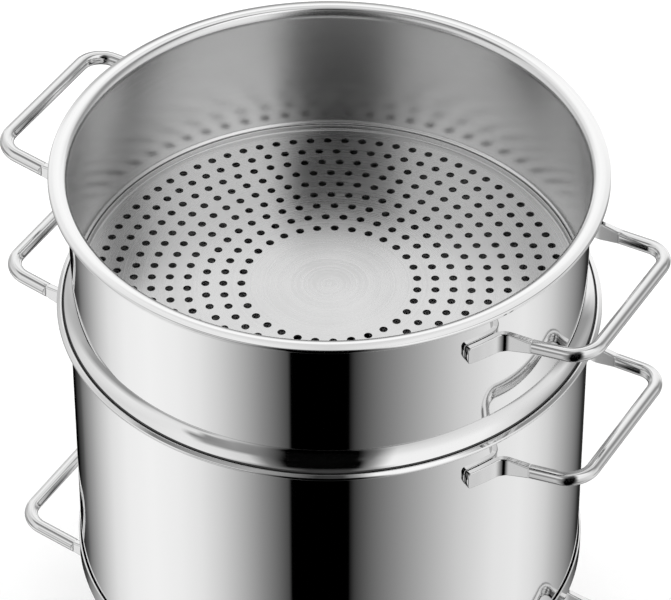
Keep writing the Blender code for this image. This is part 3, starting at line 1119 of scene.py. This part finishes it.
@dataclass(frozen=True)
class Studio:
    """A pale floor, a white room and the dark flags that give polished steel its contrast.

    Polished sheet shows nothing but its surroundings, so these are part of its look. Mirror-like
    reflections read the room by direction: bands at several heights, each with its greys by
    azimuth in degrees from the viewpoint, hold the soft boxes and the black flags between them. A
    grey is written as the polished sheet shows it, and brightness makes up for what the steel
    takes away. Everything else, the camera too, sees plain white.
    """

    azimuth: float = VIEW_AZIMUTH
    floor_colour: str = "#FFFFFF"
    floor_size: float = 12.0
    brightness: float = 1.18
    daylight: float = 1.22
    ground_grey: int = 45
    zenith_grey: int = 180
    walls: Stops = (
        (-180, 0), (-162, 0), (-150, 75), (-145, 115), (-135, 155), (-124, 195), (-115, 220),
        (-103, 235), (-87, 240), (-71, 235), (-60, 225), (-50, 205), (-40, 175), (-30, 135),
        (-20, 85), (-18, 70), (-17.5, 0), (9.5, 0), (10, 50), (20, 105), (30, 135), (40, 160),
        (60, 200), (80, 225), (95, 230), (106, 220), (115, 205), (124, 180), (135, 150),
        (148, 110), (160, 40),
    )
    plinth: Stops = (
        (-180, 60), (-168, 70), (-160, 190), (-152, 225), (-143, 190), (-132, 165), (-108, 140),
        (-52, 140), (-44, 200), (-36, 185), (-28, 135), (-18, 0), (12, 0), (19, 110), (27, 190),
        (60, 220), (74, 220), (83, 150), (135, 140), (141, 230), (150, 245), (161, 225),
        (168, 80), (180, 60),
    )
    horizon: Stops = (
        (-180, 150), (-169, 120), (-160, 190), (-153, 225), (-145, 185), (-135, 180),
        (-120, 180), (-108, 150), (-84, 145), (-70, 215), (-47, 220), (-36, 150), (-28, 130),
        (-18, 0), (12, 0), (19, 110), (27, 200), (60, 220), (98, 220), (110, 150), (130, 150),
        (140, 235), (150, 245), (161, 245), (170, 170), (180, 150),
    )
    skirting: Stops = (
        (-180, 160), (-169, 125), (-160, 200), (-152, 230), (-145, 190), (-134, 190),
        (-115, 215), (-90, 230), (-53, 225), (-49, 135), (-38, 150), (-28, 125), (-17, 0),
        (12, 0), (19, 110), (27, 210), (66, 225), (106, 220), (113, 180), (132, 170),
        (141, 235), (150, 245), (161, 245), (170, 180), (180, 160),
    )
    panels: Stops = (
        (-180, 190), (-169, 170), (-160, 200), (-152, 230), (-145, 190), (-134, 190),
        (-115, 215), (-85, 225), (-60, 225), (-56, 125), (-48, 135), (-38, 145), (-28, 120),
        (-17, 0), (12, 0), (18, 110), (26, 220), (66, 230), (100, 205), (113, 150), (128, 155),
        (142, 235), (165, 245), (180, 190),
    )
    boxes: Stops = (
        (-180, 225), (-165, 235), (-150, 245), (-135, 210), (-110, 205), (-80, 220), (-58, 230),
        (-51, 150), (-38, 140), (-28, 120), (-18, 0), (11, 0), (17, 110), (26, 235), (66, 240),
        (90, 200), (104, 165), (118, 135), (130, 155), (142, 235), (150, 245), (165, 250),
        (180, 225),
    )
    canopy: Stops = (
        (-180, 250), (-160, 245), (-140, 225), (-110, 205), (-90, 220), (-63, 230), (-45, 220),
        (-34, 205), (-27, 120), (-19, 0), (13, 0), (19, 150), (26, 240), (66, 240), (84, 215),
        (100, 140), (118, 140), (140, 225), (160, 245), (180, 250),
    )
    ceiling: Stops = (
        (-180, 210), (-150, 235), (-128, 225), (-112, 150), (-98, 110), (-84, 135), (-70, 155),
        (-50, 160), (-30, 120), (-10, 55), (10, 60), (22, 150), (34, 245), (72, 250), (84, 180),
        (98, 115), (112, 130), (130, 225), (150, 235), (180, 210),
    )

    @property
    def bands(self) -> tuple[tuple[float, Stops], ...]:
        """The room's bands from the ground to the zenith.

        Returns:
            Each band's elevation in degrees, and its greys.
        """
        return (
            (-84, ((0, self.ground_grey),)),
            (-62, self.plinth),
            (-47, self.walls),
            (-33, self.walls),
            (-28, self.plinth),
            (-6, self.horizon),
            (5, self.skirting),
            (14, self.panels),
            (23, self.boxes),
            (30, self.canopy),
            (46, self.canopy),
            (52, self.ceiling),
            (76, self.ceiling),
            (88, ((0, self.zenith_grey),)),
        )

    def ramp(self, tree: NodeTree, stops: Stops, turn: NodeSocket) -> NodeSocket:
        """A colour ramp over the azimuths of a band.

        Args:
            tree: the world's nodes.
            stops: azimuths in degrees and their sRGB greys from 0 to 255.
            turn: the azimuth, from 0 at -180 degrees to 1 at 180 degrees.

        Returns:
            The band's colour.
        """
        node = add(tree, "ShaderNodeValToRGB", {0: turn})
        elements = node.color_ramp.elements
        elements.remove(elements[-1])
        for index, (degrees, grey) in enumerate(stops):
            place = (degrees + 180) / 360
            element = elements[0] if index == 0 else elements.new(place)
            element.position = place
            element.color = linear("#" + f"{grey:02X}" * 3)
        return node.outputs["Color"]

    def build_world(self) -> None:
        """The room, as the world's background: each band blends into the next by elevation."""
        world = bpy.data.worlds.new("studio")
        bpy.context.scene.world = world
        world.use_nodes = True
        tree = world.node_tree
        background = tree.nodes["Background"]
        seen = add(tree, "ShaderNodeTexCoord").outputs["Generated"]
        turned_room = {"Vector": seen, "Rotation": (0, 0, -math.radians(self.azimuth))}
        facing = add(tree, "ShaderNodeMapping", turned_room)
        parts = add(tree, "ShaderNodeSeparateXYZ", {0: facing.outputs[0]})
        front = add(tree, "ShaderNodeMath", {0: parts.outputs[1], 1: -1.0}, operation="MULTIPLY")
        sides = {0: parts.outputs[0], 1: front.outputs[0]}
        angle = add(tree, "ShaderNodeMath", sides, operation="ARCTAN2")
        span = {"Value": angle.outputs[0], "From Min": -math.pi, "From Max": math.pi}
        turn = add(tree, "ShaderNodeMapRange", span).outputs["Result"]
        climb = add(tree, "ShaderNodeMath", {0: parts.outputs[2]}, operation="ARCSINE").outputs[0]
        lower, stops = self.bands[0]
        room = self.ramp(tree, stops, turn)
        for upper, stops in self.bands[1:]:
            limits = {"From Min": math.radians(lower), "From Max": math.radians(upper)}
            share = add(tree, "ShaderNodeMapRange", {"Value": climb, **limits})
            band = self.ramp(tree, stops, turn)
            both = {0: share.outputs["Result"], MIX_FIRST: room, MIX_SECOND: band}
            room = add(tree, "ShaderNodeMix", both, data_type="RGBA").outputs[MIX_RESULT]
            lower = upper
        scaled = {0: room, "Scale": self.brightness}
        lit = add(tree, "ShaderNodeVectorMath", scaled, operation="SCALE")
        glossy = add(tree, "ShaderNodeLightPath").outputs["Is Glossy Ray"]
        white = (self.daylight, self.daylight, self.daylight, 1.0)
        shown = {0: glossy, MIX_FIRST: white, MIX_SECOND: lit.outputs[0]}
        final = add(tree, "ShaderNodeMix", shown, data_type="RGBA")
        tree.links.new(final.outputs[MIX_RESULT], background.inputs["Color"])

    def build_floor(self) -> None:
        """A flat square of matt white paper."""
        half = self.floor_size / 2
        corners = [(-half, -half, 0), (half, -half, 0), (half, half, 0), (-half, half, 0)]
        mesh = bpy.data.meshes.new("floor")
        mesh.from_pydata(corners, [], [(0, 1, 2, 3)])
        floor = in_scene("floor", mesh)
        floor.visible_glossy = False
        paper = bpy.data.materials.new("matt white paper")
        paper.use_nodes = True
        shader = paper.node_tree.nodes["Principled BSDF"]
        shader.inputs["Base Color"].default_value = linear(self.floor_colour)
        shader.inputs["Roughness"].default_value = 1.0
        shader.inputs["Specular IOR Level"].default_value = 0.0
        mesh.materials.append(paper)

    def build(self) -> None:
        """World and floor."""
        self.build_world()
        self.build_floor()
        bpy.context.scene.view_settings.view_transform = "Standard"


@dataclass(frozen=True)
class Viewpoint:
    """The photograph's camera: where it stands and what it frames."""

    azimuth: float = VIEW_AZIMUTH
    elevation: float = 40.24
    distance: float = 2.058
    lens: float = 220.5
    sensor_width: float = 36.0
    far_limit: float = 100.0
    aim_height: float = 266.7 * MM
    aim_right: float = 3.0 * MM

    def build(self) -> None:
        """Make the camera and look through it."""
        turn, tilt = math.radians(self.azimuth), math.radians(self.elevation)
        back = Vector(
            (math.sin(turn) * math.cos(tilt), -math.cos(turn) * math.cos(tilt), math.sin(tilt))
        )
        right = Vector((math.cos(turn), math.sin(turn), 0))
        camera = bpy.data.cameras.new("camera")
        camera.lens = self.lens
        camera.sensor_width = self.sensor_width
        camera.sensor_fit = "HORIZONTAL"
        camera.clip_end = self.far_limit
        obj = in_scene("camera", camera)
        aim = right * self.aim_right + Vector((0, 0, self.aim_height))
        obj.location = aim + back * self.distance
        obj.rotation_euler = back.to_track_quat("Z", "Y").to_euler()
        bpy.context.scene.camera = obj


def main() -> None:
    """Build the vessels from the bottom up, then the studio and the camera."""
    logging.basicConfig(level=logging.INFO, format="%(name)s: %(message)s")
    pot = WaterPot(collar_radius=JuiceContainer.wall_radius + PLUG_CLEARANCE)
    container = JuiceContainer(
        base=pot.ledge_top + SEAT_GAP,
        socket_depth=pot.socket_depth,
        riser_radius=FruitBasket.foot_radius + SEAT_GAP,
    )
    basket = FruitBasket(base=container.base + container.seat + SEAT_GAP)
    for part in (pot, container, basket, Studio(), Viewpoint()):
        part.build()


if __name__ == "__main__":
    main()
